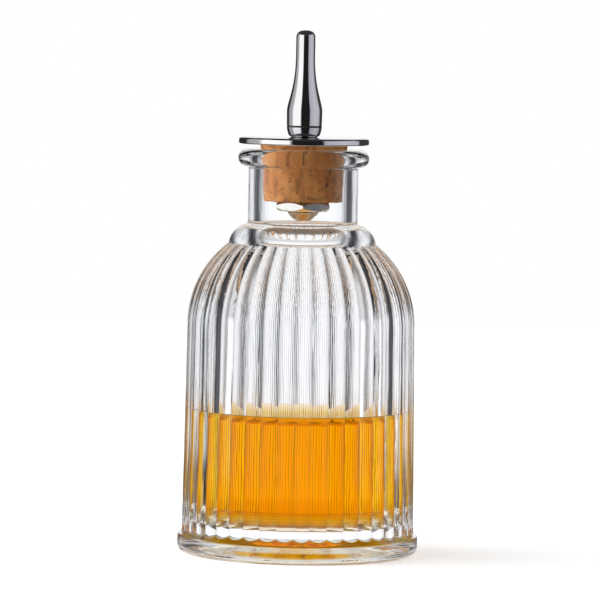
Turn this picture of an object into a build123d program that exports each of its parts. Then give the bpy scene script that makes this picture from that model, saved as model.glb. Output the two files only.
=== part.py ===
from build123d import *
import os
from math import asin, cos, pi, sin, sqrt

# Bitters bottle: a fluted clear glass bottle on a wide foot, part filled, closed by a tapered cork
# that carries a metal dasher. The dasher is a cap plate, a spout screwed to its seat over a thin
# gasket, and a threaded stem that clamps the cork with a hex nut. All sizes are in millimetres.
# The origin is the middle of the underside, +Z runs up the bottle and -Y is the front.

os.makedirs("parts", exist_ok=True)

# Glass: foot and underside
foot_radius = 30.0
foot_edge_height = 4.6
foot_bottom_round = 2.2
foot_top_round = 0.8
foot_slope_rise = 1.9
foot_slope_overlap = 0.4
foot_ring_width = 2.8
underside_depth = 4.0

# Glass: fluted body and dome
foot_ledge = 1.0
body_taper = 0.6
dome_height = 57.0
dome_rise = 19.9
rib_count = 42
rib_depth = 0.75
rib_turn = 2.0
rib_level_count = 8
rib_run_on = 1.2
body_seat_depth = 1.6

# Glass: collar, neck and lip
collar_step = 4.7
collar_round = 5.5
shoulder_step = 0.7
neck_wall = 2.9
neck_rise = 19.6
neck_fillet = 1.0
lip_step = 2.65
lip_thickness = 4.5
mouth_round = 0.8

# Glass: inside
wall_thickness = 6.5
floor_thickness = 7.5
floor_corner_round = 5.0
shoulder_inner_round = 4.5

# Fill
fill_depth = 26.1
fill_gap = 0.05

# Cork
cork_length = 14.2
cork_stand = 1.2
cork_top_radius = 10.9
cork_bottom_radius = 9.65
cork_edge = 0.3
cork_clearance = 0.1

# Cap plate
cap_inset = 0.05
cap_edge_thickness = 1.5
cap_rise = 0.3
cap_edge_round = 0.6
cap_flat_margin = 0.7

# Stem and nut
stem_radius = 4.0
stem_reach = 4.7
stem_bore_radius = 1.5
stem_tip_height = 1.9
stem_tip_width = 1.5
stem_socket_room = 0.4
stem_clearance = 0.05
nut_across_flats = 12.7
nut_thickness = 2.4
nut_chamfer = 0.2

# Spout seat
seat_shank_radius = 2.2
seat_shank_length = 4.0
seat_ledge = 0.5
seat_seam_step = 0.15
seat_height = 2.4
seat_bulge = 0.45
seat_spigot_radius = 3.0
seat_spigot_height = 3.5
seat_spigot_chamfer = 0.3
seat_bore_radius = 1.2

# Gasket
gasket_thickness = 0.3
gasket_inset = 0.05

# Spout
spout_radius = 4.6
spout_foot_round = 0.2
spout_belly_height = 2.7
spout_taper_length = 14.7
spout_neck_wall = 1.0
spout_neck_length = 6.5
spout_tip_land = 0.35
spout_bore_radius = 1.4
spout_socket_room = 0.6
spout_orifice_radius = 0.9
spout_orifice_length = 3.0
spout_lower_pull_share = 0.30
spout_upper_pull_share = 0.565
thread_clearance = 0.05

# One overrun for every cut that has to pass a face
overrun = 1.0

# Heights that the pieces share
collar_height = dome_height + dome_rise
lip_height = collar_height + neck_rise + lip_thickness
cork_top_height = lip_height + cork_stand
cork_bottom_height = cork_top_height - cork_length
cap_edge_height = cork_top_height + cap_edge_thickness
cap_top_height = cap_edge_height + cap_rise
nut_bottom_height = cork_bottom_height - nut_thickness
stem_bottom_height = cork_bottom_height - stem_reach
seat_top_height = cap_top_height + seat_height
spout_base_height = seat_top_height + gasket_thickness
spout_belly_top = spout_base_height + spout_belly_height
spout_taper_top = spout_belly_top + spout_taper_length
spout_top_height = spout_taper_top + spout_neck_length

# The cork is a plain taper, and the bore is made to fit it where the mouth starts to round over
bore_top_height = lip_height - mouth_round
cork_taper = (cork_top_radius - cork_bottom_radius) / cork_length
bore_radius = cork_bottom_radius + cork_taper * (bore_top_height - cork_bottom_height) + cork_clearance

# Radii that follow from the foot up and from the bore out
body_radius_at_foot = foot_radius - foot_ledge
body_radius_at_dome = body_radius_at_foot - body_taper
neck_radius = bore_radius + neck_wall
collar_radius = neck_radius + collar_step
shoulder_radius = collar_radius + shoulder_step
lip_radius = neck_radius + lip_step
cap_radius = lip_radius - cap_inset
seat_base_radius = seat_shank_radius + seat_ledge
seat_radius = spout_radius - seat_seam_step
cap_flat_radius = seat_base_radius + cap_flat_margin
spout_neck_radius = spout_bore_radius + spout_neck_wall
spout_tip_round = spout_neck_radius - spout_orifice_radius - spout_tip_land
rib_pitch = 360 / rib_count


def dome_arc(start_radius, end_radius):
    """Centre and radius of the arc that leaves the body upright and meets the end radius at the collar."""
    run = start_radius - end_radius
    arc_radius = (run**2 + dome_rise**2) / (2 * run)
    return start_radius - arc_radius, arc_radius


def round_corner(profile, radius, height, size):
    """Round the corner of a turned profile that stands at a radius and a height."""
    corner = profile.vertices().sort_by_distance((radius, height))[0]
    fillet(corner, size)


def ribbed_section(height, crest_radius):
    """Face of the fluted body at one height: as many shallow arcs as there are ribs, meeting in grooves."""
    groove_radius = crest_radius - rib_depth * crest_radius / body_radius_at_dome
    with BuildSketch(Plane.XY.offset(height)) as section:
        with BuildLine():
            for rib in range(rib_count):
                crest = rib * rib_pitch - 90 + rib_turn
                start = Vector(groove_radius, 0).rotate(Axis.Z, crest - rib_pitch / 2)
                middle = Vector(crest_radius, 0).rotate(Axis.Z, crest)
                end = Vector(groove_radius, 0).rotate(Axis.Z, crest + rib_pitch / 2)
                ThreePointArc(start, middle, end)
        make_face()
    return section.sketch


def cavity_solid(gap):
    """The hollow of the bottle as a solid, drawn in from the glass by a gap."""
    side_radius = body_radius_at_foot - wall_thickness - gap
    dome_start = body_radius_at_dome - wall_thickness - gap
    bore = bore_radius - gap
    arc_centre, arc_radius = dome_arc(dome_start, bore)
    half_rise = dome_rise / 2
    half_reach = arc_centre + sqrt(arc_radius**2 - half_rise**2)
    floor = floor_thickness + gap
    top = lip_height + overrun
    with BuildPart() as cavity:
        with BuildSketch(Plane.XZ) as outline:
            with BuildLine():
                Polyline((0, floor), (side_radius, floor), (dome_start, dome_height))
                ThreePointArc(
                    (dome_start, dome_height),
                    (half_reach, dome_height + half_rise),
                    (bore, collar_height),
                )
                Line((bore, collar_height), (bore, bore_top_height))
                RadiusArc((bore, bore_top_height), (bore + mouth_round, lip_height), mouth_round)
                Polyline(
                    (bore + mouth_round, lip_height),
                    (bore + mouth_round, top),
                    (0, top),
                    (0, floor),
                )
            make_face()
            round_corner(outline, side_radius, floor, floor_corner_round)
            round_corner(outline, bore, collar_height, shoulder_inner_round)
        revolve(axis=Axis.Z)
    return cavity.part


# Glass bottle: foot, fluted body, fluted dome, collar, neck and lip in one piece, then hollowed
with BuildPart() as glass_bottle:
    slope_top = foot_edge_height + foot_slope_rise
    slope_start = body_radius_at_foot * (1 - rib_depth / body_radius_at_dome) - foot_slope_overlap
    with BuildSketch(Plane.XZ) as foot:
        with BuildLine():
            Polyline(
                (0, 0),
                (foot_radius, 0),
                (foot_radius, foot_edge_height),
                (slope_start, slope_top),
                (0, slope_top),
                close=True,
            )
        make_face()
        round_corner(foot, foot_radius, 0, foot_bottom_round)
        round_corner(foot, foot_radius, foot_edge_height, foot_top_round)
    revolve(axis=Axis.Z)

    # The fluted body stands inside the foot, so each rib dies into the foot's slope
    section_in_foot = ribbed_section(foot_edge_height - body_seat_depth, body_radius_at_foot)
    section_at_dome = ribbed_section(dome_height, body_radius_at_dome)
    loft([section_in_foot, section_at_dome], ruled=True)

    # The dome runs on under the collar, which then cuts the ribs off in small arches
    rib_arc_centre, rib_arc_radius = dome_arc(body_radius_at_dome, shoulder_radius)
    rib_arc_turn = asin(dome_rise / rib_arc_radius) + rib_run_on / rib_arc_radius
    dome_sections = []
    for level in range(rib_level_count + 1):
        turn = rib_arc_turn * level / rib_level_count
        height = dome_height + rib_arc_radius * sin(turn)
        dome_sections.append(ribbed_section(height, rib_arc_centre + rib_arc_radius * cos(turn)))
    loft(dome_sections)

    # Collar and neck
    lip_round = lip_thickness / 2
    lip_middle = lip_height - lip_round
    collar_centre = collar_radius - collar_round
    collar_top = collar_height + sqrt(collar_round**2 - (neck_radius - collar_centre) ** 2)
    with BuildSketch(Plane.XZ) as neck:
        with BuildLine():
            Polyline((0, dome_height), (collar_radius, dome_height), (collar_radius, collar_height))
            ThreePointArc(
                (collar_radius, collar_height),
                (collar_centre + collar_round * cos(pi / 4), collar_height + collar_round * sin(pi / 4)),
                (neck_radius, collar_top),
            )
            Polyline(
                (neck_radius, collar_top),
                (neck_radius, lip_middle),
                (0, lip_middle),
                (0, dome_height),
            )
        make_face()
        round_corner(neck, neck_radius, collar_top, neck_fillet)
    revolve(axis=Axis.Z)

    # Lip: a half-round bead
    lip_bottom = lip_height - lip_thickness
    bead_start = lip_radius - lip_round
    with BuildSketch(Plane.XZ):
        with BuildLine():
            Line((0, lip_bottom), (bead_start, lip_bottom))
            ThreePointArc((bead_start, lip_bottom), (lip_radius, lip_middle), (bead_start, lip_height))
            Polyline((bead_start, lip_height), (0, lip_height), (0, lip_bottom))
        make_face()
    revolve(axis=Axis.Z)

    # The shallow recess under the foot, which leaves a ring to stand on
    underside_radius = foot_radius - foot_bottom_round - foot_ring_width
    underside_ball = (underside_radius**2 + underside_depth**2) / (2 * underside_depth)
    with BuildSketch(Plane.XZ):
        with BuildLine():
            Polyline(
                (0, underside_depth),
                (0, -overrun),
                (underside_radius, -overrun),
                (underside_radius, 0),
            )
            RadiusArc((underside_radius, 0), (0, underside_depth), -underside_ball)
        make_face()
    revolve(axis=Axis.Z, mode=Mode.SUBTRACT)

    add(cavity_solid(0), mode=Mode.SUBTRACT)

# Bitters: the fill follows the glass from the floor up to its level
with BuildPart() as bitters_fill:
    add(cavity_solid(fill_gap))
    split(bisect_by=Plane.XY.offset(floor_thickness + fill_depth), keep=Keep.BOTTOM)

# Cork: a tapered plug with a bore for the stem
with BuildPart() as cork_stopper:
    with BuildSketch(Plane.XZ):
        with BuildLine():
            Polyline(
                (stem_radius + stem_clearance, cork_bottom_height),
                (cork_bottom_radius, cork_bottom_height),
                (cork_top_radius, cork_top_height),
                (stem_radius + stem_clearance, cork_top_height),
                close=True,
            )
        make_face()
    revolve(axis=Axis.Z)
    rims = cork_stopper.edges().filter_by(GeomType.CIRCLE).sort_by(SortBy.RADIUS)[-2:]
    chamfer(rims, cork_edge)

# Cap plate: a turned disc, a little domed, with a rolled edge
with BuildPart() as cap_plate:
    with BuildSketch(Plane.XZ) as plate:
        with BuildLine():
            cap_hole = seat_shank_radius + stem_clearance
            Polyline(
                (cap_radius, cap_edge_height),
                (cap_radius, cork_top_height),
                (cap_hole, cork_top_height),
                (cap_hole, cap_top_height),
                (cap_flat_radius, cap_top_height),
            )
            dome_run = cap_radius - cap_flat_radius
            plate_ball = (dome_run**2 + cap_rise**2) / (2 * cap_rise)
            RadiusArc((cap_flat_radius, cap_top_height), (cap_radius, cap_edge_height), plate_ball)
        make_face()
        for edge_height in (cork_top_height, cap_edge_height):
            round_corner(plate, cap_radius, edge_height, cap_edge_round)
    revolve(axis=Axis.Z)

# Stem: a threaded tube through the cork, coned at its lower end, with a socket for the seat's shank
with BuildPart() as threaded_stem:
    with BuildSketch(Plane.XZ):
        with BuildLine():
            socket_floor = cork_top_height - seat_shank_length - stem_socket_room
            Polyline(
                (stem_bore_radius, stem_bottom_height),
                (stem_radius - stem_tip_width, stem_bottom_height),
                (stem_radius, stem_bottom_height + stem_tip_height),
                (stem_radius, cork_top_height),
                (seat_shank_radius + stem_clearance, cork_top_height),
                (seat_shank_radius + stem_clearance, socket_floor),
                (stem_bore_radius, socket_floor),
                close=True,
            )
        make_face()
    revolve(axis=Axis.Z)

# Nut: a thin hexagon with both faces chamfered, a corner to the front
with BuildPart() as hex_nut:
    with BuildSketch(Plane.XY.offset(nut_bottom_height)):
        RegularPolygon(nut_across_flats / 2, 6, major_radius=False, rotation=30)
    extrude(amount=nut_thickness)
    with BuildSketch(Plane.XZ):
        with BuildLine():
            nut_corner_radius = nut_across_flats / sqrt(3)
            nut_face_radius = nut_across_flats / 2 - nut_chamfer
            chamfer_rise = (nut_corner_radius - nut_face_radius) / sqrt(3)
            Polyline(
                (stem_radius + stem_clearance, nut_bottom_height),
                (nut_face_radius, nut_bottom_height),
                (nut_corner_radius, nut_bottom_height + chamfer_rise),
                (nut_corner_radius, cork_bottom_height - chamfer_rise),
                (nut_face_radius, cork_bottom_height),
                (stem_radius + stem_clearance, cork_bottom_height),
                close=True,
            )
        make_face()
    revolve(axis=Axis.Z, mode=Mode.INTERSECT)

# Seat: a small bowl on the cap plate, with a shank down into the stem and a spigot for the spout
with BuildPart() as spout_seat:
    with BuildSketch(Plane.XZ) as seat:
        with BuildLine():
            shank_bottom = cork_top_height - seat_shank_length
            spigot_top = seat_top_height + seat_spigot_height
            bowl_middle_radius = (seat_base_radius + seat_radius) / 2 + seat_bulge
            bowl_middle_height = (cap_top_height + seat_top_height) / 2 - seat_bulge
            Polyline(
                (seat_base_radius, cap_top_height),
                (seat_shank_radius, cap_top_height),
                (seat_shank_radius, shank_bottom),
                (seat_bore_radius, shank_bottom),
                (seat_bore_radius, spigot_top),
                (seat_spigot_radius - seat_spigot_chamfer, spigot_top),
                (seat_spigot_radius, spigot_top - seat_spigot_chamfer),
                (seat_spigot_radius, seat_top_height),
                (seat_radius, seat_top_height),
            )
            ThreePointArc(
                (seat_base_radius, cap_top_height),
                (bowl_middle_radius, bowl_middle_height),
                (seat_radius, seat_top_height),
            )
        make_face()
    revolve(axis=Axis.Z)

# Gasket: a thin ring that seals the spout on its seat
with BuildPart() as spout_gasket:
    with BuildSketch(Plane.XY.offset(seat_top_height)):
        Circle(seat_radius - gasket_inset)
        Circle(seat_spigot_radius + gasket_inset, mode=Mode.SUBTRACT)
    extrude(amount=gasket_thickness)

# Spout: a turned taper with a fine orifice, bored through and socketed to screw on the seat
with BuildPart() as dash_spout:
    with BuildSketch(Plane.XZ) as spout:
        with BuildLine():
            socket_radius = seat_spigot_radius + thread_clearance
            socket_top = seat_top_height + seat_spigot_height + spout_socket_room
            orifice_start = spout_top_height - spout_orifice_length
            lower_pull = spout_belly_top + spout_lower_pull_share * spout_taper_length
            upper_pull = spout_taper_top - spout_upper_pull_share * spout_taper_length
            Line((spout_radius, spout_base_height), (spout_radius, spout_belly_top))
            Bezier(
                (spout_radius, spout_belly_top),
                (spout_radius, lower_pull),
                (spout_neck_radius, upper_pull),
                (spout_neck_radius, spout_taper_top),
            )
            Polyline(
                (spout_neck_radius, spout_taper_top),
                (spout_neck_radius, spout_top_height),
                (spout_orifice_radius, spout_top_height),
                (spout_orifice_radius, orifice_start),
                (spout_bore_radius, orifice_start - (spout_bore_radius - spout_orifice_radius)),
                (spout_bore_radius, socket_top + (socket_radius - spout_bore_radius)),
                (socket_radius, socket_top),
                (socket_radius, spout_base_height),
                (spout_radius, spout_base_height),
            )
        make_face()
        round_corner(spout, spout_neck_radius, spout_top_height, spout_tip_round)
        round_corner(spout, spout_radius, spout_base_height, spout_foot_round)
    revolve(axis=Axis.Z)

pieces = {
    "glass_bottle": glass_bottle,
    "bitters_fill": bitters_fill,
    "cork_stopper": cork_stopper,
    "cap_plate": cap_plate,
    "threaded_stem": threaded_stem,
    "hex_nut": hex_nut,
    "spout_seat": spout_seat,
    "spout_gasket": spout_gasket,
    "dash_spout": dash_spout,
}
for name, piece in pieces.items():
    piece.part.label = name
    export_step(piece.part, f"parts/{name}.step")
    print(name, "volume", round(piece.part.volume, 1), "solids", len(piece.part.solids()))
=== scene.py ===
from math import acos, atan2, cos, degrees, exp, floor, hypot, pi, radians, sin, sqrt, tan

import bmesh
import bpy
from mathutils import Matrix, Vector, noise


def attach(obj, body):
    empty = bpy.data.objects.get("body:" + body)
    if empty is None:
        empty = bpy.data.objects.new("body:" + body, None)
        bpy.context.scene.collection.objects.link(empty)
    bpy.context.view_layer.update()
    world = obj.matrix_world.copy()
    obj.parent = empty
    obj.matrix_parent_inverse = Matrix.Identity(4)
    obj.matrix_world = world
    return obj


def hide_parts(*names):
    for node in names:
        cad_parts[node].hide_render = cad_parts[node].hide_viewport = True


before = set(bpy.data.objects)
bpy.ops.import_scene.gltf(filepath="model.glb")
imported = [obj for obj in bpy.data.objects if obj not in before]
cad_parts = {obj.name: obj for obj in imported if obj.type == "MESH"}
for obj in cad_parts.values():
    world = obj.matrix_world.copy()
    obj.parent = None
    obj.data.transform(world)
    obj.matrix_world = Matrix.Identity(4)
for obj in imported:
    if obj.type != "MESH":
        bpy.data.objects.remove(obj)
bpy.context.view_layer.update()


# Glass bottle: pressed clear glass in one piece, hollowed down to a thick floor. A plain foot carries a body
# of upright ribs. They run over the dome and stop in small arches under a smooth collar, below a plain neck
# and a rounded lip.
def arc(centre, radius, start, end, steps):
    """Points (radius, height) on an arc, its angles in degrees from straight outwards."""
    turns = [radians(start + (end - start) * step / steps) for step in range(steps + 1)]
    return [(centre[0] + radius * cos(turn), centre[1] + radius * sin(turn)) for turn in turns]


def rounded_corner(before, corner, after, radius, steps):
    """Points of the round that eases a corner between two straight runs."""
    corner = Vector(corner)
    back, on = (Vector(before) - corner).normalized(), (Vector(after) - corner).normalized()
    half = acos(back.dot(on)) / 2
    middle = corner + (back + on).normalized() * (radius / sin(half))
    start = corner + back * (radius / tan(half)) - middle
    end = corner + on * (radius / tan(half)) - middle
    spokes = [start.lerp(end, step / steps).normalized() for step in range(steps + 1)]
    return [tuple(middle + spoke * radius) for spoke in spokes]


def along(start, end, steps):
    """Points on a straight run, without its first."""
    return [tuple(Vector(start).lerp(Vector(end), step / steps)) for step in range(1, steps + 1)]


def new_tree(name, kind, inputs, outputs):
    """A node tree with named sockets, each input given as a name, a kind of socket and a value."""
    tree = bpy.data.node_groups.new(name, kind)
    for label, socket, value in inputs:
        made = tree.interface.new_socket(label, in_out="INPUT", socket_type=socket)
        if value is not None:
            made.default_value = value
    for label, socket in outputs:
        tree.interface.new_socket(label, in_out="OUTPUT", socket_type=socket)
    return tree, tree.nodes.new("NodeGroupInput").outputs, tree.nodes.new("NodeGroupOutput").inputs


def feed(tree, value, socket):
    """Gives a socket its value, which is another socket or plain numbers."""
    if isinstance(value, bpy.types.NodeSocket):
        tree.links.new(value, socket)
    else:
        socket.default_value = value


def calculator(tree):
    """A function that adds a Math node to a tree, feeds it the values given and returns what it puts out."""

    def calc(operation, *values):
        node = tree.nodes.new("ShaderNodeMath")
        node.operation = operation
        for value, socket in zip(values, node.inputs):
            feed(tree, value, socket)
        return node.outputs[0]

    return calc


def turned_wall_tree():
    """Turns an outline about Z. Where it has a crest, ribs of that radius stand out of the plain wall."""
    tree, given, result = new_tree(
        "turned wall",
        "GeometryNodeTree",
        [
            ("Outline", "NodeSocketGeometry", None),
            ("Ribs", "NodeSocketInt", 42),
            ("Steps per Rib", "NodeSocketInt", 12),
            ("Rib Depth Share", "NodeSocketFloat", 0.026),
            ("Rib Turn", "NodeSocketFloat", 0.0),
            ("Crowding", "NodeSocketFloat", 0.0),
            ("Blend", "NodeSocketFloat", 0.0),
            ("Material", "NodeSocketMaterial", None),
        ],
        [("Geometry", "NodeSocketGeometry")],
    )
    nodes, links = tree.nodes, tree.links
    calc = calculator(tree)

    # A grid with a row for each point of the outline and a column for each step round
    size = nodes.new("GeometryNodeAttributeDomainSize")
    links.new(given["Outline"], size.inputs["Geometry"])
    steps = calc("MULTIPLY", given["Ribs"], given["Steps per Rib"])
    columns = calc("ADD", steps, 1)
    grid = nodes.new("GeometryNodeMeshGrid")
    links.new(size.outputs["Point Count"], grid.inputs["Vertices X"])
    links.new(columns, grid.inputs["Vertices Y"])
    index = nodes.new("GeometryNodeInputIndex").outputs[0]
    row = calc("FLOOR", calc("DIVIDE", calc("ADD", index, 0.5), columns))
    column = calc("SUBTRACT", index, calc("MULTIPLY", row, columns))

    # Steps crowd towards the grooves, which keeps them crisp
    rib = calc("DIVIDE", column, given["Steps per Rib"])
    even = calc("SUBTRACT", calc("FRACT", rib), 0.5)
    crowded = calc("MULTIPLY", calc("SINE", calc("MULTIPLY", even, pi)), 0.5)
    place_in_rib = calc("ADD", even, calc("MULTIPLY", calc("SUBTRACT", crowded, even), given["Crowding"]))
    pitch = calc("DIVIDE", 2 * pi, given["Ribs"])
    across = calc("MULTIPLY", place_in_rib, pitch)
    angle = calc("ADD", calc("ADD", calc("MULTIPLY", calc("FLOOR", rib), pitch), across), given["Rib Turn"])

    def of_row(value, kind):
        sample = nodes.new("GeometryNodeSampleIndex")
        sample.data_type = kind
        links.new(given["Outline"], sample.inputs["Geometry"])
        links.new(value, sample.inputs["Value"])
        links.new(row, sample.inputs["Index"])
        return sample.outputs[0]

    place = nodes.new("ShaderNodeSeparateXYZ")
    links.new(of_row(nodes.new("GeometryNodeInputPosition").outputs[0], "FLOAT_VECTOR"), place.inputs[0])
    crest_attribute = nodes.new("GeometryNodeInputNamedAttribute")
    crest_attribute.data_type = "FLOAT"
    crest_attribute.inputs["Name"].default_value = "crest"
    crest = of_row(crest_attribute.outputs["Attribute"], "FLOAT")

    # Each rib is an arc between two grooves: its middle and its round, where the crest stands at 1
    half = calc("MULTIPLY", pitch, 0.5)
    groove = calc("SUBTRACT", 1, given["Rib Depth Share"])
    reach = calc("MULTIPLY", groove, calc("SINE", half))
    rise = calc("SUBTRACT", 1, calc("MULTIPLY", groove, calc("COSINE", half)))
    squares = calc("ADD", calc("MULTIPLY", reach, reach), calc("MULTIPLY", rise, rise))
    rib_round = calc("DIVIDE", squares, calc("MULTIPLY", rise, 2))
    middle = calc("SUBTRACT", 1, rib_round)
    aside = calc("MULTIPLY", middle, calc("SINE", across))
    ahead = calc("MULTIPLY", middle, calc("COSINE", across))
    squares = calc("SUBTRACT", calc("MULTIPLY", rib_round, rib_round), calc("MULTIPLY", aside, aside))
    bulge = calc("SQRT", squares)
    ribbed = calc("MULTIPLY", crest, calc("ADD", ahead, bulge))
    radius = calc("SMOOTH_MAX", place.outputs["X"], ribbed, given["Blend"])
    radius = calc("MULTIPLY", radius, calc("GREATER_THAN", calc("ADD", place.outputs["X"], crest), 0))

    spot = nodes.new("ShaderNodeCombineXYZ")
    links.new(calc("MULTIPLY", radius, calc("COSINE", angle)), spot.inputs["X"])
    links.new(calc("MULTIPLY", radius, calc("SINE", angle)), spot.inputs["Y"])
    links.new(place.outputs["Z"], spot.inputs["Z"])
    move = nodes.new("GeometryNodeSetPosition")
    links.new(grid.outputs["Mesh"], move.inputs["Geometry"])
    links.new(spot.outputs[0], move.inputs["Position"])
    merge = nodes.new("GeometryNodeMergeByDistance")
    merge.inputs["Distance"].default_value = 1e-6
    links.new(move.outputs[0], merge.inputs["Geometry"])
    smooth = nodes.new("GeometryNodeSetShadeSmooth")
    links.new(merge.outputs[0], smooth.inputs[0])
    real = nodes.new("GeometryNodeRealizeInstances")
    links.new(smooth.outputs[0], real.inputs[0])
    paint = nodes.new("GeometryNodeSetMaterial")
    links.new(real.outputs[0], paint.inputs["Geometry"])
    links.new(given["Material"], paint.inputs["Material"])
    links.new(paint.outputs[0], result["Geometry"])
    return tree


turned_wall = turned_wall_tree()


def held(rows, long_run):
    """Adds a row close to each end of a long plain run, so that its shading stays straight to the corner."""
    from_end = 0.06
    kept = [rows[0]]
    for before, after in zip(rows, rows[1:]):
        across, up = after[0] - before[0], after[1] - before[1]
        run = hypot(across, up)
        if run > long_run and len(before) == len(after) == 2:
            for share in (from_end / run, 1 - from_end / run):
                kept.append((before[0] + across * share, before[1] + up * share))
        kept.append(after)
    return kept


def turned(
    name,
    rows,
    material,
    ribs=8,
    rib_steps=16,
    depth_share=0.01,
    rib_turn=-pi / 2,
    crowding=0.0,
    blend=0.0,
    long_run=0.5,
):
    """A turned piece, from rows of radius, height and, where it has ribs, their crests' radius, in mm."""
    rows = held(rows, long_run)
    outline = bpy.data.meshes.new(name)
    points = [(row[0] / 1000, 0, row[1] / 1000) for row in rows]
    outline.from_pydata(points, [(i, i + 1) for i in range(len(rows) - 1)], [])
    crests = [row[2] / 1000 if len(row) > 2 else 0.0 for row in rows]
    outline.attributes.new("crest", "FLOAT", "POINT").data.foreach_set("value", crests)
    piece = bpy.data.objects.new(name, outline)
    bpy.context.scene.collection.objects.link(piece)
    modifier = piece.modifiers.new("turned wall", "NODES")
    modifier.node_group = turned_wall
    settings = {
        "Ribs": ribs,
        "Steps per Rib": rib_steps,
        "Rib Depth Share": depth_share,
        "Rib Turn": rib_turn,
        "Crowding": crowding,
        "Blend": blend / 1000,
        "Material": material,
    }
    for socket in turned_wall.interface.items_tree:
        if socket.name in settings:
            modifier[socket.identifier] = settings[socket.name]
    depsgraph = bpy.context.evaluated_depsgraph_get()
    made = bpy.data.meshes.new_from_object(piece.evaluated_get(depsgraph), depsgraph=depsgraph)
    piece.modifiers.clear()
    piece.data = made
    made.name = name
    outwards(piece)
    return piece


def outwards(piece, crease=60):
    """Points all the faces of a closed piece outwards, and keeps its corners crisp past an angle."""
    shape = bmesh.new()
    shape.from_mesh(piece.data)
    bmesh.ops.recalc_face_normals(shape, faces=shape.faces)
    shape.to_mesh(piece.data)
    shape.free()
    piece.data.set_sharp_from_angle(angle=radians(crease))


def new_material(name, **settings):
    """A material with one Principled shader, its plain settings made on its own sockets."""
    material = bpy.data.materials.new(name)
    material.use_nodes = True
    tree = material.node_tree
    tree.nodes.clear()
    shader = tree.nodes.new("ShaderNodeBsdfPrincipled")
    out = tree.nodes.new("ShaderNodeOutputMaterial")
    tree.links.new(shader.outputs[0], out.inputs["Surface"])
    for label, value in settings.items():
        shader.inputs[label.replace("_", " ")].default_value = value
    return material, tree, shader


def object_noise(tree, stretch, scale, detail=3.0, roughness=0.5):
    """Noise on the piece's own coordinates, stretched along each axis."""
    place = tree.nodes.new("ShaderNodeTexCoord")
    mapping = tree.nodes.new("ShaderNodeMapping")
    mapping.inputs["Scale"].default_value = stretch
    tree.links.new(place.outputs["Object"], mapping.inputs["Vector"])
    grain = tree.nodes.new("ShaderNodeTexNoise")
    grain.inputs["Scale"].default_value = scale
    grain.inputs["Detail"].default_value = detail
    grain.inputs["Roughness"].default_value = roughness
    tree.links.new(mapping.outputs[0], grain.inputs["Vector"])
    return grain.outputs["Fac"]


def bump(tree, height, strength, distance, normal=None):
    """A bump of a height, over another bump where one is given."""
    node = tree.nodes.new("ShaderNodeBump")
    node.inputs["Strength"].default_value = strength
    node.inputs["Distance"].default_value = distance
    tree.links.new(height, node.inputs["Height"])
    if normal is not None:
        tree.links.new(normal, node.inputs["Normal"])
    return node.outputs[0]


def grey(light):
    """The colour of a grey."""
    return light, light, light


def ramp(tree, value, *stops):
    """A colour ramp, from stops of a place and a colour."""
    node = tree.nodes.new("ShaderNodeValToRGB")
    stops_made = node.color_ramp.elements
    while len(stops_made) < len(stops):
        stops_made.new(0.5)
    for made, (place, colour) in zip(stops_made, stops):
        made.position = place
        made.color = (*colour, 1)
    tree.links.new(value, node.inputs[0])
    return node.outputs[0]


# The pressed surface isn't quite even: fine streaks and wider ripples run up the bottle, over soft waves
clear_glass, tree, shader = new_material(
    "clear pressed glass", Transmission_Weight=1, Roughness=0, IOR=1.51, Specular_Tint=(0.12, 0.12, 0.13, 1)
)
streaks = object_noise(tree, (1, 1, 0.05), 800, 2.0)
ripples = object_noise(tree, (1, 1, 0.22), 260, 2.0)
waves = object_noise(tree, (1, 1, 0.5), 70, 1.0)
normal = bump(tree, ripples, 0.25, 0.0001, bump(tree, waves, 0.4, 0.0004))
tree.links.new(bump(tree, streaks, 0.5, 0.00006, normal), shader.inputs["Normal"])
tint = ramp(tree, waves, (0.3, (0.985, 0.985, 0.98)), (0.7, grey(1.0)))
tree.links.new(tint, shader.inputs["Base Color"])

foot_radius, foot_edge_height, foot_ring_radius, underside_depth = 30.0, 4.6, 25.0, 4.0
foot_round, slope_start_round, slope_end_height = 2.2, 0.8, foot_edge_height + 1.9
body_radius_at_foot, body_radius_at_dome, body_base_height = 29.0, 28.4, 3.0
dome_height, collar_height = 57.0, 76.9
rib_count, rib_steps, rib_turn, rib_crowding, rib_blend = 42, 12, radians(-90 + 2), 0.85, 0.2
rib_depth_share, rib_sink, wall_behind_ribs = 0.75 / body_radius_at_dome, 0.4, 1.0
neck_radius, neck_fillet = 13.724, 1.0
collar_radius, collar_round, arch_end = neck_radius + 4.7, 5.5, 15
shoulder_radius = collar_radius + 0.7
lip_height, lip_round = 101.0, 2.25
lip_radius = neck_radius + 2.65
bore_radius, mouth_round = 10.824, 0.8
wall, floor_height, floor_round, shoulder_inner_round = 6.5, 7.5, 5.0, 4.5


def dome_arc(start_radius, end_radius):
    """Middle and radius of the arc that leaves the body upright and meets an end radius at the collar."""
    run = start_radius - end_radius
    arc_radius = (run**2 + (collar_height - dome_height) ** 2) / (2 * run)
    return start_radius - arc_radius, arc_radius


def crest_radius(height):
    """How far out the ribs' crests stand at a height."""
    if height < dome_height:
        share = (height - body_base_height) / (dome_height - body_base_height)
        return body_radius_at_foot + (body_radius_at_dome - body_radius_at_foot) * share
    middle, radius = dome_arc(body_radius_at_dome, shoulder_radius)
    return middle + sqrt(radius**2 - (height - dome_height) ** 2)


# Underside and foot
shares = (0, 0.25, 0.5, 0.7, 0.85, 0.95, 1)
rows = [(foot_ring_radius * share, underside_depth * (1 - share**2)) for share in shares]
slope_end = (body_radius_at_foot * (1 - rib_depth_share) - rib_sink, slope_end_height)
foot_edge = (foot_radius, foot_edge_height)
rows += rounded_corner((foot_ring_radius, 0), (foot_radius, 0), foot_edge, foot_round, 8)
slope_round = rounded_corner((foot_radius, 0), foot_edge, slope_end, slope_start_round, 5)
rows += slope_round[:-1]

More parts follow.
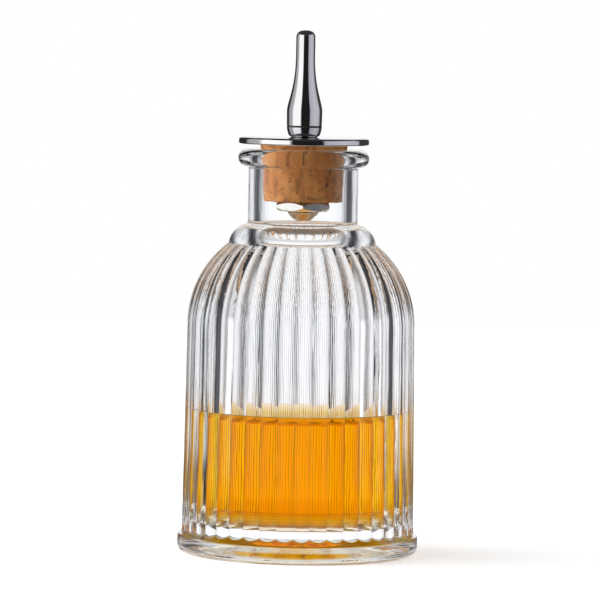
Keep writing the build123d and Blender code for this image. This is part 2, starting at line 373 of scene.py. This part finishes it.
# Ribs, which rise out of the foot's slope and end against the collar, with the plain wall hidden behind them
rows += [(r, h, crest_radius(h)) for r, h in [slope_round[-1]] + along(slope_round[-1], slope_end, 14)]
rows += [(wall_behind_ribs, h, crest_radius(h)) for r, h in along(slope_end, (0, dome_height), 3)]
middle, radius = dome_arc(body_radius_at_dome, shoulder_radius)
dome_end = degrees(acos((shoulder_radius - middle) / radius))
dome = arc((middle, dome_height), radius, 0, dome_end, 24)[1:]
rows += [(collar_radius, h, crest_radius(h)) for r, h in dome]
collar_middle = (collar_radius - collar_round, collar_height)
collar_end = degrees(acos((neck_radius + neck_fillet - collar_middle[0]) / (collar_round + neck_fillet)))
rows += [(r, h, crest_radius(h)) for r, h in arc(collar_middle, collar_round, 0, arch_end, 12)[1:]]
rows += arc(collar_middle, collar_round, arch_end, collar_end, 14)[1:]

# Neck, lip and mouth
fillet_height = collar_height + (collar_round + neck_fillet) * sin(radians(collar_end))
rows += arc((neck_radius + neck_fillet, fillet_height), neck_fillet, 180 + collar_end, 180, 6)[1:]
bead_middle = (lip_radius - lip_round, lip_height - lip_round)
bead_fillet = bead_middle[0] - neck_radius
rows += arc((bead_middle[0], lip_height - 2 * lip_round - bead_fillet), bead_fillet, 180, 90, 4)
rows += arc(bead_middle, lip_round, -90, 90, 16)[1:]
rows += arc((bore_radius + mouth_round, lip_height - mouth_round), mouth_round, 90, 180, 6)

# Inside: bore, dome, wall and floor
dome_start = body_radius_at_dome - wall
middle, radius = dome_arc(dome_start, bore_radius)
shoulder_middle = bore_radius + shoulder_inner_round
shoulder_rise = sqrt((radius + shoulder_inner_round) ** 2 - (shoulder_middle - middle) ** 2)
shoulder_end = degrees(atan2(shoulder_rise, shoulder_middle - middle))
shoulder = (shoulder_middle, dome_height + shoulder_rise)
rows += arc(shoulder, shoulder_inner_round, 180, 180 + shoulder_end, 8)
rows += arc((middle, dome_height), radius, shoulder_end, 0, 18)[1:]
side = body_radius_at_foot - wall
wall_top = (dome_start, dome_height)
floor_corner = rounded_corner(wall_top, (side, floor_height), (0, floor_height), floor_round, 10)
rows += along(wall_top, floor_corner[0], 2) + floor_corner[1:]
rows += along(floor_corner[-1], (0, floor_height), 2)

glass_bottle = turned(
    "bottle_glass",
    rows,
    clear_glass,
    ribs=rib_count,
    rib_steps=rib_steps,
    depth_share=rib_depth_share,
    rib_turn=rib_turn,
    crowding=rib_crowding,
    blend=rib_blend,
    long_run=1.5,
)
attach(glass_bottle, "bottle")
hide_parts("glass_bottle")


# Bitters: the amber drink, a still body with a flat top that climbs the glass a little all round. Its skin
# lies 0.1 mm inside the glass itself, as wet glass shows no gap.
bitters, tree, shader = new_material(
    "amber bitters", Transmission_Weight=1, Roughness=0, IOR=1.35, Specular_Tint=(0.1, 0.05, 0.01, 1)
)
depth = tree.nodes.new("ShaderNodeVolumeAbsorption")
depth.inputs["Color"].default_value = (1.0, 0.88, 0.0, 1)
depth.inputs["Density"].default_value = 195
tree.links.new(depth.outputs[0], tree.nodes["Material Output"].inputs["Volume"])
cloud = object_noise(tree, (1, 1, 1.5), 45, 2.0)
skin = ramp(tree, cloud, (0.3, (1.0, 0.93, 0.80)), (0.7, (1.0, 0.97, 0.88)))
tree.links.new(skin, shader.inputs["Base Color"])
tree.links.new(bump(tree, cloud, 0.1, 0.0002), shader.inputs["Normal"])

fill_height, climb, climb_reach, wetting, fill_round = 32.9, 2.9, 3.0, 0.1, 5.0
body_taper = body_radius_at_foot - body_radius_at_dome


def wet_radius(height):
    """Radius of the drink's skin, a little way into the glass, at a height."""
    return side - body_taper * (height - floor_height) / (dome_height - floor_height) + wetting


rim_height = fill_height + climb
rim = wet_radius(rim_height)
insets = [rim * (1 - share) for share in (0.3, 0.5, 0.7, 0.8, 0.86, 0.9, 0.93)]
insets += [1.3, 0.95, 0.65, 0.4, 0.2, 0]
rows = [(0, fill_height)]
rows += [(rim - inset, fill_height + climb * exp(-inset / climb_reach)) for inset in insets]
base = floor_height - wetting
on_wall, on_floor = (wet_radius(fill_height), fill_height), (0, base)
corner = rounded_corner(on_wall, (wet_radius(base), base), on_floor, fill_round, 10)
rows += along((rim, rim_height), corner[0], 6) + corner[1:] + along(corner[-1], on_floor, 4)
bitters_body = turned("bitters_body", rows, bitters, rib_steps=24)
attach(bitters_body, "bottle")
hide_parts("bitters_fill")


# Cork: a tapered plug of natural cork, cut across the bark so that its pores run as short dark specks, bored
# for the stem and pushed into the neck by hand. Its lower edge is a little chipped.
def reshaped(piece, change, crease=60):
    """Moves each corner of a turned piece to the radius and height, in mm, that a rule gives for it."""
    for corner in piece.data.vertices:
        x, y, z = corner.co * 1000
        around = atan2(y, x)
        radius, height = change(hypot(x, y), around, z)
        corner.co = Vector((radius * cos(around), radius * sin(around), height)) / 1000
    outwards(piece, crease)


# Where a Mix node takes its two colours and gives the colour that it makes of them
mix_first, mix_second, mix_result = 6, 7, 2


def darkened(tree, share, colour, marks):
    """A colour multiplied by marks, as far as the share says."""
    mix = tree.nodes.new("ShaderNodeMix")
    mix.data_type, mix.blend_type = "RGBA", "MULTIPLY"
    mix.inputs[0].default_value = share
    tree.links.new(colour, mix.inputs[mix_first])
    tree.links.new(marks, mix.inputs[mix_second])
    return mix.outputs[mix_result]


cork, tree, shader = new_material("natural cork", Roughness=0.85)
soft = object_noise(tree, (1, 1, 0.7), 160, 4.0, 0.6)
grains = object_noise(tree, (1, 1, 1), 900, 4.0, 0.65)
streaks = object_noise(tree, (1.6, 1.6, 0.5), 420, 3.0, 0.6)
base_colour = ramp(
    tree, soft, (0.28, (0.47, 0.14, 0.03)), (0.5, (0.70, 0.27, 0.065)), (0.74, (0.88, 0.43, 0.14))
)
specks = ramp(tree, grains, (0.33, grey(0.30)), (0.42, grey(1)))
fibres = ramp(tree, streaks, (0.34, grey(0.55)), (0.5, grey(1)))
speckled = darkened(tree, 1, base_colour, specks)
tree.links.new(darkened(tree, 0.8, speckled, fibres), shader.inputs["Base Color"])
tree.links.new(bump(tree, streaks, 0.6, 0.0003, bump(tree, grains, 0.5, 0.0002)), shader.inputs["Normal"])

cork_bore, cork_base, cork_middle, cork_top = 4.05, 88.0, 95.0, 102.2
base_edge, mouth_edge, top_edge = (9.85, 88.25), (10.2, 97), (10.87, 101.9)
loop = [(radius, cork_base) for radius in (cork_bore, 6.5, 8.6, 9.6)] + [base_edge]
loop += along(base_edge, mouth_edge, 24) + along(mouth_edge, top_edge, 12)
loop += [(radius, cork_top) for radius in (10.6, 9.6, 7, cork_bore)] + [(cork_bore, cork_middle)]
cork_plug = turned("cork_plug", loop + loop[:1], cork, rib_steps=24)


def cork_skin(radius, around, height):
    """Pores, and a crumbled lower edge, on the cork's side."""
    side_start, pore_depth, chip_height, chip_depth, chip_lift = 9, 0.9, 1.6, 1.1, 0.5
    if radius < side_start:
        return radius, height
    spot = Vector((cos(around) * 3, sin(around) * 3, height * 0.5))
    pore = max(0, noise.noise(spot * 2.6) - 0.28) * pore_depth
    near_base = max(0, 1 - (height - cork_base) / chip_height)
    chip = max(0, noise.noise(spot * 1.1 + Vector((7, 3, 1))) + 0.05) * near_base
    return radius - pore - chip_depth * chip, height + chip_lift * chip


reshaped(cork_plug, cork_skin)
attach(cork_plug, "cork")
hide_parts("cork_stopper")


# Stem and nut: a brass tube with a rolled outside thread runs down through the cork, and a thin plated
# hexagon nut on its end pulls the cork up against the plate. The tube's tip is turned to a short cone.
def product(tree, first, second):
    """One vector or colour multiplied by another."""
    node = tree.nodes.new("ShaderNodeVectorMath")
    node.operation = "MULTIPLY"
    tree.links.new(first, node.inputs[0])
    tree.links.new(second, node.inputs[1])
    return node.outputs[0]


def wear_group():
    """Marks of use on metal: fine lines from polishing, and soft smudges."""
    tree, given, result = new_tree(
        "metal wear",
        "ShaderNodeTree",
        [
            ("Line Scale", "NodeSocketFloat", 500.0),
            ("Line Stretch", "NodeSocketVector", (1, 1, 20)),
            ("Smudge Scale", "NodeSocketFloat", 90.0),
        ],
        [("Lines", "NodeSocketFloat"), ("Smudges", "NodeSocketFloat")],
    )
    place = tree.nodes.new("ShaderNodeTexCoord").outputs["Object"]
    stretched = product(tree, place, given["Line Stretch"])
    for spot, scale, detail, marks in (
        (stretched, given["Line Scale"], 3, result["Lines"]),
        (place, given["Smudge Scale"], 2, result["Smudges"]),
    ):
        grain = tree.nodes.new("ShaderNodeTexNoise")
        grain.inputs["Detail"].default_value = detail
        tree.links.new(spot, grain.inputs["Vector"])
        tree.links.new(scale, grain.inputs["Scale"])
        tree.links.new(grain.outputs["Fac"], marks)
    return tree


metal_wear = wear_group()


def metal(name, dark, light, roughness, line_strength, line_scale, smudge_scale):
    """A metal whose colour and gloss vary with the marks of use."""
    material, tree, shader = new_material(name, Metallic=1)
    wear = tree.nodes.new("ShaderNodeGroup")
    wear.node_tree = metal_wear
    wear.inputs["Line Scale"].default_value = line_scale
    wear.inputs["Smudge Scale"].default_value = smudge_scale
    smudges = wear.outputs["Smudges"]
    tree.links.new(ramp(tree, smudges, (0.3, dark), (0.7, light)), shader.inputs["Base Color"])
    gloss = tree.nodes.new("ShaderNodeMapRange")
    gloss.inputs["To Min"].default_value, gloss.inputs["To Max"].default_value = roughness
    tree.links.new(smudges, gloss.inputs["Value"])
    tree.links.new(gloss.outputs[0], shader.inputs["Roughness"])
    normal = bump(tree, wear.outputs["Lines"], line_strength, 0.00004)
    tree.links.new(normal, shader.inputs["Normal"])
    return material


stem_brass = metal(
    "stem brass",
    dark=(0.60, 0.50, 0.38),
    light=(0.78, 0.68, 0.54),
    roughness=(0.3, 0.45),
    line_strength=0.4,
    line_scale=380,
    smudge_scale=70,
)
thread_pitch, thread_depth = 1.0, 0.45
stem_radius, stem_bore, stem_tip, stem_top = 4.0, 1.5, 83.3, 102.15
shank_socket_radius, shank_socket_base = 2.25, 97.8
tip_chamfer, cone_end, thread_start = (2.2, 83.45), (3.9, 85.1), (stem_radius, 85.3)
loop = [(shank_socket_radius, stem_top), (shank_socket_radius, shank_socket_base)]
loop += [(stem_bore, shank_socket_base - 0.2), (stem_bore, stem_tip), (1.9, stem_tip)]
loop += [tip_chamfer, cone_end, thread_start] + along(thread_start, (stem_radius, stem_top), 135)
brass_stem = turned("brass_stem", loop + loop[:1], stem_brass, rib_steps=7)


def thread_cut(radius, around, height):
    """A right-hand thread cut into the stem's outside."""
    outside, lowest, highest = 3.95, 85.2, 102.1
    if radius < outside or height < lowest or height > highest:
        return radius, height
    turn = height / thread_pitch - around / (2 * pi)
    return radius - thread_depth * 2 * abs(turn - floor(turn) - 0.5), height


reshaped(brass_stem, thread_cut)
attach(brass_stem, "dasher")
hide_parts("threaded_stem")

nut_steel = metal(
    "nut steel",
    dark=(0.82, 0.82, 0.80),
    light=(0.93, 0.93, 0.91),
    roughness=(0.12, 0.25),
    line_strength=0.5,
    line_scale=700,
    smudge_scale=120,
)
nut_base, nut_top, nut_bore, nut_edge = 85.6, 87.98, 4.02, 0.3
nut_half_width, nut_chamfer_start, nut_chamfer_slope = 6.35, 6.0, 0.7
nut_radii = [4.35, 6.0, 6.2, 6.45, 6.8, 7.1, 7.6]
loop = [(nut_bore, nut_base + nut_edge)] + [(radius, nut_base) for radius in nut_radii]
loop += [(nut_radii[-1], 86.6), (nut_radii[-1], 87.0)]
loop += [(radius, nut_top) for radius in reversed(nut_radii)] + [(nut_bore, nut_top - nut_edge)]
hexagon_nut = turned("hexagon_nut", loop + loop[:1], nut_steel, ribs=6)


def hexagon(radius, around, height):
    """Pulls the nut's rim in to six flats, and slopes its corners off where they stand past the chamfer."""
    from_flat = (around + pi / 2) % (pi / 3) - pi / 6
    radius = min(radius, nut_half_width / cos(from_flat))
    slope = max(0, radius - nut_chamfer_start) * nut_chamfer_slope
    return radius, min(max(height, nut_base + slope), nut_top - slope)


reshaped(hexagon_nut, hexagon, crease=25)
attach(hexagon_nut, "dasher")
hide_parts("hex_nut")


# Plate and seat: a bright plated disc lies on the cork, turned with a rounded rim and a top that rises a
# little to the middle. A small plated bowl stands on it, with a shank down into the stem and a spigot up into
# the spout.
plated_metal = metal(
    "bright plating",
    dark=(0.74, 0.74, 0.76),
    light=(0.84, 0.84, 0.86),
    roughness=(0.012, 0.035),
    line_strength=0.02,
    line_scale=500,
    smudge_scale=90,
)
plate_bore, plate_radius, plate_top = 2.25, 16.324, 104.0
plate_lower_round, plate_upper_round = 0.35, 0.65
plate_middle, lower_rim, upper_rim = (3.4, plate_top), (plate_radius, cork_top), (plate_radius, 103.9)
loop = [(plate_bore, cork_top), (15.9, cork_top)]
loop += rounded_corner((0, cork_top), lower_rim, upper_rim, plate_lower_round, 6)
loop += rounded_corner(lower_rim, upper_rim, plate_middle, plate_upper_round, 8)
loop += along(loop[-1], plate_middle, 12) + [(plate_bore, plate_top)]
cap_disc = turned("cap_disc", loop + loop[:1], plated_metal, rib_steps=24)
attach(cap_disc, "dasher")
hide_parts("cap_plate")

dash_bore, shank_radius, shank_base = 1.2, 2.2, 98.2
bowl_radius, bowl_top, spigot_radius, spigot_top, spigot_chamfer = 4.4, 106.4, 3.0, 109.9, 0.3
loop = [(dash_bore, shank_base), (shank_radius, shank_base), (shank_radius, plate_top), (2.7, plate_top)]
loop += [(3.1, plate_top), (3.3, 104.04), (3.5, 104.12), (3.7, 104.24), (3.86, 104.4), (3.97, 104.6)]
loop += [(4.05, 104.82), (4.14, 105.1), (4.22, 105.4), (4.3, 105.75), (4.36, 106.1), (bowl_radius, bowl_top)]
loop += [(spigot_radius, bowl_top), (spigot_radius, spigot_top - spigot_chamfer)]
loop += [(spigot_radius - spigot_chamfer, spigot_top), (dash_bore, spigot_top)]
spout_bowl = turned("spout_bowl", loop + loop[:1], plated_metal)
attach(spout_bowl, "dasher")
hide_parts("spout_seat")


# Gasket: a thin dark rubber ring, cut from sheet. It lies round the spigot, pressed between the bowl and the
# spout, and only its edge shows.
gasket_rubber, tree, shader = new_material("dark rubber", Roughness=0.6)
grit = object_noise(tree, (1, 1, 1), 1500, 3.0)
rubber_colour = ramp(tree, grit, (0.3, (0.015, 0.014, 0.013)), (0.7, (0.04, 0.038, 0.035)))
tree.links.new(rubber_colour, shader.inputs["Base Color"])
tree.links.new(bump(tree, grit, 0.4, 0.00005), shader.inputs["Normal"])
gasket_bore, gasket_face, gasket_radius, gasket_top, gasket_edge = 3.05, 4.33, 4.4, 106.7, 0.08
loop = [(gasket_bore, bowl_top), (gasket_face, bowl_top), (gasket_radius, bowl_top + gasket_edge)]
loop += [(gasket_radius, gasket_top - gasket_edge), (gasket_face, gasket_top), (gasket_bore, gasket_top)]
gasket_ring = turned("gasket_ring", loop + loop[:1], gasket_rubber, rib_steps=12)
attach(gasket_ring, "gasket")
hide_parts("spout_gasket")


# Spout: turned from solid bar, then plated bright. A straight belly draws in to a slim neck with a rounded
# tip, and a fine hole through it lets out a dash at a time.
def bend(start, leaving, arriving, end, steps):
    """Points on a cubic curve, without its first."""
    start, leaving, arriving, end = (Vector(point) for point in (start, leaving, arriving, end))
    points = []
    for step in range(1, steps + 1):
        on = step / steps
        back = 1 - on
        point = start * back**3 + leaving * 3 * on * back**2 + arriving * 3 * on**2 * back + end * on**3
        points.append(tuple(point))
    return points


spout_socket, belly_radius, spout_neck, tip_round = 3.05, 4.45, 2.4, 1.8
belly_top, spout_neck_start, tip_start, spout_top = 110.4, 124.1, 128.825, 130.6
orifice, orifice_base, spout_bore, spout_bore_top, spout_bore_base = 0.9, 127.6, 1.4, 127.5, 110.6
spout_socket_top = 110.5
loop = [(spout_socket, gasket_top), (4.2, gasket_top), (4.33, gasket_top + 0.06), (4.4, gasket_top + 0.2)]
loop += [(belly_radius, belly_top)]
loop += bend((belly_radius, belly_top), (4.4, 112.9), (2.42, 116.1), (spout_neck, spout_neck_start), 32)
loop += along((spout_neck, spout_neck_start), (spout_neck, tip_start), 4)
loop += arc((spout_neck - tip_round, tip_start), tip_round, 0, 80.4, 10)[1:]
loop += [(orifice, spout_top), (orifice, orifice_base), (spout_bore, spout_bore_top)]
loop += [(spout_bore, spout_bore_base), (spout_socket, spout_socket_top)]
spout_taper = turned("spout_taper", loop + loop[:1], plated_metal)
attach(spout_taper, "spout")
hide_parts("dash_spout")


# Studio: a plain white floor in a plain white room. Glass shows the room's walls with soft dark corners
# between them, and metal shows a bright wall on the left, a greyer one on the right and a dark gap behind the
# camera.
def step_up(tree, value, low, high):
    """A soft step from 0 to 1 between two values."""
    node = tree.nodes.new("ShaderNodeMapRange")
    node.interpolation_type = "SMOOTHSTEP"
    tree.links.new(value, node.inputs["Value"])
    node.inputs["From Min"].default_value, node.inputs["From Max"].default_value = low, high
    return node.outputs[0]


def between(tree, share, low, high):
    """A colour between two others, each given as a socket or as the lightness of a grey."""
    node = tree.nodes.new("ShaderNodeMix")
    node.data_type = "RGBA"
    tree.links.new(share, node.inputs[0])
    for value, socket in ((low, mix_first), (high, mix_second)):
        plain = not isinstance(value, bpy.types.NodeSocket)
        feed(tree, (*grey(value), 1) if plain else value, node.inputs[socket])
    return node.outputs[mix_result]


def light_tree(name):
    """A group that gives a light for a direction: its tree, the direction's x, y and z, and the result."""
    inputs, outputs = [("Direction", "NodeSocketVector", (0, 0, 0))], [("Light", "NodeSocketColor")]
    tree, given, result = new_tree(name, "ShaderNodeTree", inputs, outputs)
    parts = tree.nodes.new("ShaderNodeSeparateXYZ")
    tree.links.new(given["Direction"], parts.inputs[0])
    return tree, parts.outputs, result["Light"]


def wall_light_group():
    """How light the room is through glass, by direction: four walls, dark corners and a darker ceiling."""
    tree, (x, y, z), result = light_tree("wall light")
    calc = calculator(tree)
    leftwards, forwards = calc("MULTIPLY", x, -1), calc("MULTIPLY", y, -1)

    def growing(value, slope):
        """Nothing below 0, then growing with a value until it eases into 1."""
        return calc("SMOOTH_MIN", calc("MAXIMUM", calc("MULTIPLY", value, slope), 0), 1, 0.2)

    around = calc("ARCTAN2", y, x)
    from_wall = calc("DIVIDE", calc("ABSOLUTE", calc("WRAP", around, pi / 4, -pi / 4)), pi / 4)
    aside = calc("SQRT", calc("ADD", calc("MULTIPLY", x, x), calc("MULTIPLY", y, y)))
    from_wall = calc("MULTIPLY", from_wall, calc("SMOOTH_MIN", calc("MULTIPLY", aside, 1.3), 1, 0.2))
    walls = ramp(
        tree,
        from_wall,
        (0.0, (1.07, 1.07, 1.09)),
        (0.42, (0.91, 0.93, 0.965)),
        (0.6, (0.55, 0.57, 0.61)),
        (0.76, (0.12, 0.125, 0.14)),
        (1.0, (0.03, 0.03, 0.035)),
    )

    # A white panel stands on the left, towards the camera
    white_panel, right_shade, ceiling_shade, upper_shade = 1.25, 0.62, 0.72, 0.3
    left = calc("MULTIPLY", step_up(tree, leftwards, 0.55, 0.68), step_up(tree, forwards, 0.15, 0.3))
    walls = between(tree, left, walls, white_panel)

    # The wall to the right of the camera stands in shade, and so does what is above eye level
    right = calc("MULTIPLY", growing(x, 1.6), growing(y, -3))
    ceiling = growing(calc("SUBTRACT", z, 0.3), 3.5)
    upper = step_up(tree, z, 0.02, 0.07)
    above = calc("MAXIMUM", calc("MULTIPLY", ceiling, ceiling_shade), calc("MULTIPLY", upper, upper_shade))
    shade = calc("SUBTRACT", 1, calc("MAXIMUM", calc("MULTIPLY", right, right_shade), above))
    tree.links.new(product(tree, walls, shade), result)
    return tree


wall_light = wall_light_group()


def panel_light_group():
    """How light the room is in metal, by direction: white and grey panels, with dark gaps between them."""
    tree, (x, y, z), result = light_tree("panel light")
    calc = calculator(tree)
    from_camera = calc("ADD", calc("DIVIDE", calc("ARCTAN2", x, calc("MULTIPLY", y, -1)), 2 * pi), 0.5)
    panels = ramp(
        tree,
        from_camera,
        (0.030, (0.95, 0.95, 0.96)),
        (0.050, grey(0.03)),
        (0.155, grey(0.03)),
        (0.180, (0.42, 0.42, 0.43)),
        (0.260, (0.50, 0.50, 0.51)),
        (0.285, grey(1.2)),
        (0.425, grey(1.2)),
        (0.443, grey(0.015)),
        (0.592, grey(0.015)),
        (0.608, (0.50, 0.48, 0.53)),
        (0.710, (0.62, 0.60, 0.65)),
        (0.805, (0.52, 0.50, 0.55)),
        (0.825, grey(0.05)),
        (0.945, grey(0.05)),
        (0.965, (0.95, 0.95, 0.96)),
    )
    ceiling_light = 0.04
    overhead = step_up(tree, z, 0.5, 0.62)
    tree.links.new(between(tree, overhead, panels, ceiling_light), result)
    return tree


panel_light = panel_light_group()


def light_from(tree, group, direction):
    """The light that a group gives for a direction."""
    placed = tree.nodes.new("ShaderNodeGroup")
    placed.node_tree = group
    tree.links.new(direction, placed.inputs["Direction"])
    return placed.outputs["Light"]


# The floor is white, and glows a little so that it meets the white room without an edge
floor_glow, floor_half_width, light_spread = 0.6, 0.9, (4, 4, 4)
ground, tree, shader = new_material("studio floor", Roughness=0.9, Emission_Color=(1, 1, 1, 1))
ground_noise = object_noise(tree, (1, 1, 1), 12, 2.0)
ground_colour = ramp(tree, ground_noise, (0.3, grey(0.82)), (0.7, grey(0.85)))
tree.links.new(ground_colour, shader.inputs["Base Color"])
light_path = tree.nodes.new("ShaderNodeLightPath").outputs
calc = calculator(tree)
tree.links.new(calc("MULTIPLY", light_path["Is Camera Ray"], floor_glow), shader.inputs["Emission Strength"])

# In the floor, glass and metal see the light of the room on that side
place = tree.nodes.new("ShaderNodeTexCoord").outputs["Object"]
spread = tree.nodes.new("ShaderNodeMapping")
spread.inputs["Scale"].default_value = light_spread
tree.links.new(place, spread.inputs["Vector"])
walls = light_from(tree, wall_light, spread.outputs[0])
panels = light_from(tree, panel_light, spread.outputs[0])
seen = between(tree, light_path["Is Transmission Ray"], panels, walls)

# Close to the bottle a shadow is painted into the floor's glow, amber where it is seen through the drink
length = tree.nodes.new("ShaderNodeVectorMath")
length.operation = "LENGTH"
tree.links.new(place, length.inputs[0])
from_bottle = length.outputs["Value"]
amber_shadow = ramp(
    tree,
    from_bottle,
    (0.04, (0.75, 0.58, 0.42)),
    (0.05, (0.86, 0.73, 0.60)),
    (0.085, (0.87, 0.78, 0.67)),
    (0.14, grey(1)),
)
grey_shadow = ramp(
    tree,
    from_bottle,
    (0.064, grey(0.97)),
    (0.074, (0.17, 0.14, 0.11)),
    (0.2, (0.19, 0.17, 0.15)),
    (0.29, grey(1)),
)
deepest_without_drink = 4.5
through_drink = calc("GREATER_THAN", light_path["Transmission Depth"], deepest_without_drink)
shadow = between(tree, through_drink, grey_shadow, amber_shadow)
glow = tree.nodes.new("ShaderNodeEmission")
tree.links.new(product(tree, seen, shadow), glow.inputs["Color"])
by_path = tree.nodes.new("ShaderNodeMixShader")
mirrored = calc("MAXIMUM", light_path["Is Transmission Ray"], light_path["Is Glossy Ray"])
straight = calc("LESS_THAN", light_path["Diffuse Depth"], 0.5)
tree.links.new(calc("MULTIPLY", mirrored, straight), by_path.inputs[0])
tree.links.new(shader.outputs[0], by_path.inputs[1])
tree.links.new(glow.outputs[0], by_path.inputs[2])
tree.links.new(by_path.outputs[0], tree.nodes["Material Output"].inputs["Surface"])

floor_mesh = bpy.data.meshes.new("studio_floor")
corners = [(x * floor_half_width, y * floor_half_width, 0) for x, y in ((-1, -1), (1, -1), (1, 1), (-1, 1))]
floor_mesh.from_pydata(corners, [], [(0, 1, 2, 3)])
floor_mesh.materials.append(ground)
studio_floor = bpy.data.objects.new("studio_floor", floor_mesh)
bpy.context.scene.collection.objects.link(studio_floor)

# The room: white to the camera, panels in metal, walls in glass, a big lamp on the left for plain surfaces
lamp_light, room_light = 5.2, 0.25
scene = bpy.context.scene
world = bpy.data.worlds.new("studio light")
scene.world = world
world.use_nodes = True
tree = world.node_tree
calc = calculator(tree)
light_path = tree.nodes.new("ShaderNodeLightPath").outputs
direction = tree.nodes.new("ShaderNodeTexCoord").outputs["Generated"]
parts = tree.nodes.new("ShaderNodeSeparateXYZ")
tree.links.new(direction, parts.inputs[0])
lamp = step_up(tree, calc("MULTIPLY", parts.outputs["X"], -1), 0.42, 0.95)
plain_light = calc("ADD", calc("MULTIPLY", lamp, lamp_light), room_light)
straight = calc("LESS_THAN", light_path["Diffuse Depth"], 0.5)
in_metal = calc("MULTIPLY", light_path["Is Glossy Ray"], straight)
in_glass = calc("MULTIPLY", light_path["Is Transmission Ray"], straight)
light = between(tree, in_metal, plain_light, light_from(tree, panel_light, direction))
light = between(tree, in_glass, light, light_from(tree, wall_light, direction))
light = between(tree, light_path["Is Camera Ray"], light, 1.0)
tree.links.new(light, tree.nodes["Background"].inputs["Color"])

# Light crosses many walls of glass before it comes out
scene.cycles.max_bounces = 32
scene.cycles.transmission_bounces = 28
scene.cycles.glossy_bounces = 8
scene.view_settings.view_transform = "Standard"

camera_place, camera_tilt, camera_roll = (-0.00033, -1.2, 0.134), radians(90 - 3.37), radians(1.0)
camera = bpy.data.objects.new("camera", bpy.data.cameras.new("camera"))
scene.collection.objects.link(camera)
camera.data.sensor_width = 36
camera.data.lens = 289
camera.data.clip_start = 0.05
camera_turn = Matrix.Rotation(camera_tilt, 4, "X") @ Matrix.Rotation(camera_roll, 4, "Z")
camera.matrix_world = Matrix.Translation(camera_place) @ camera_turn
scene.camera = camera
